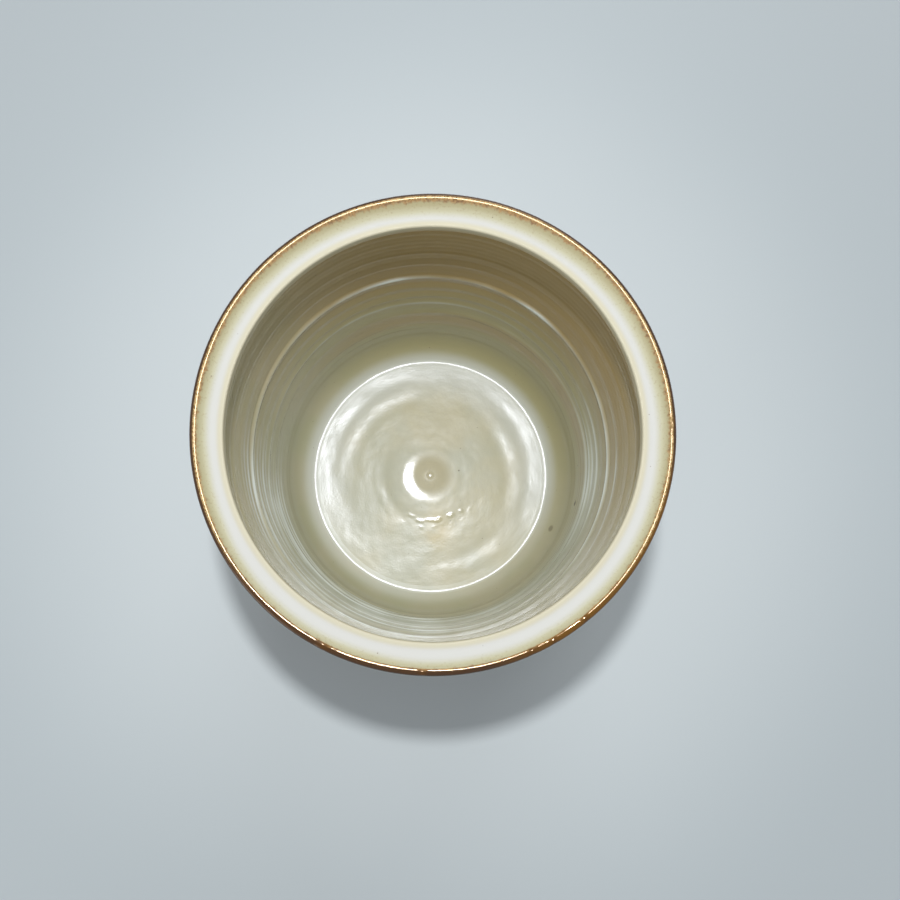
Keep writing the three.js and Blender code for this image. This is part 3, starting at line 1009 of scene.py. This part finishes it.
def table_top():
    """Pale table that runs out into the background, away from the jar."""
    shader = Shader("table_top")
    shader.surface.inputs["Roughness"].default_value = 0.7
    *_, radius = jar_places(shader)
    # Painted shade: the table darkens from 0.13 m to 0.3 m out, standing for light falling off away
    # from the jar
    edge = shader.step(radius, 0.13, 0.3)
    tone = shader.mix(edge, srgb(201, 209, 212), srgb(189, 198, 202))
    shader.links.new(tone, shader.surface.inputs["Base Color"])
    far = both(shader, shader.step(radius, 0.24, 0.75), direct_rays(shader.nodes, shader.links))
    glow = shader.nodes.new("ShaderNodeEmission")
    glow.inputs["Color"].default_value = (*BACKGROUND, 1)
    blend = shader.nodes.new("ShaderNodeMixShader")
    shader.links.new(far, blend.inputs[0])
    shader.links.new(shader.surface.outputs[0], blend.inputs[1])
    shader.links.new(glow.outputs[0], blend.inputs[2])
    shader.links.new(blend.outputs[0], shader.nodes["Material Output"].inputs["Surface"])
    shader.material.cycles.emission_sampling = "NONE"
    return shader.material


def make_floor():
    mesh = bmesh.new()
    bmesh.ops.create_grid(mesh, x_segments=1, y_segments=1, size=TABLE_SIZE)
    data = bpy.data.meshes.new("table_top")
    mesh.to_mesh(data)
    mesh.free()
    floor = bpy.data.objects.new("table_top", data)
    bpy.context.scene.collection.objects.link(floor)
    data.materials.append(table_top())


# The camera's focal length and the shift of its picture, in pixels of a square picture
PICTURE = 900
FOCAL_LENGTH = 723.3
PICTURE_SHIFT = (23.9, 53.5)
SENSOR_WIDTH = 36
CAMERA_PLACE = (-2.34 * MM, -43.4 * MM, 411.7 * MM)
CAMERA_TILT = math.radians(4)


def make_camera():
    data = bpy.data.cameras.new("camera")
    data.lens = SENSOR_WIDTH * FOCAL_LENGTH / PICTURE
    camera = bpy.data.objects.new("camera", data)
    bpy.context.scene.collection.objects.link(camera)
    camera.location = CAMERA_PLACE
    camera.rotation_euler = (CAMERA_TILT, 0, 0)
    data.shift_x, data.shift_y = (shift / PICTURE for shift in PICTURE_SHIFT)
    data.clip_start = 0.01
    bpy.context.scene.camera = camera


# Kind, power, place and width: a small hard light by the camera and two broad soft ones
LAMPS = {
    "key": ("POINT", 6.0, (-6.5 * MM, 42 * MM, 500 * MM), 12 * MM),
    "far": ("AREA", 6.0, (0.3, 1.3, 1.0), 1.0),
    "low": ("AREA", 1.8, (-0.9, -0.7, 0.35), 0.6),
}


def add_lamp(name, kind, energy, place, size):
    data = bpy.data.lights.new(name, kind)
    data.energy = energy
    lamp = bpy.data.objects.new(name, data)
    lamp.location = place
    if kind == "AREA":
        data.shape = "DISK"
        data.size = size
        lamp.rotation_euler = (-Vector(place)).to_track_quat("-Z", "Y").to_euler()
    else:
        data.shadow_soft_size = size
    lamp.visible_camera = False
    bpy.context.scene.collection.objects.link(lamp)


def make_lights():
    for name, lamp in LAMPS.items():
        add_lamp(name, *lamp)
    world = bpy.data.worlds.new("studio")
    bpy.context.scene.world = world
    world.use_nodes = True
    nodes, links = world.node_tree.nodes, world.node_tree.links
    fill = nodes["Background"]
    fill.inputs["Color"].default_value = (0.95, 0.98, 1.0, 1)
    fill.inputs["Strength"].default_value = 0.4
    seen = nodes.new("ShaderNodeBackground")
    seen.inputs["Color"].default_value = (*BACKGROUND, 1)
    blend = nodes.new("ShaderNodeMixShader")
    links.new(direct_rays(nodes, links), blend.inputs[0])
    links.new(fill.outputs[0], blend.inputs[1])
    links.new(seen.outputs[0], blend.inputs[2])
    links.new(blend.outputs[0], nodes["World Output"].inputs["Surface"])


make_camera()
make_lights()
make_floor()
make_liner()
make_outer_coat()
make_clay()

bpy.context.scene.view_settings.view_transform = "Standard"
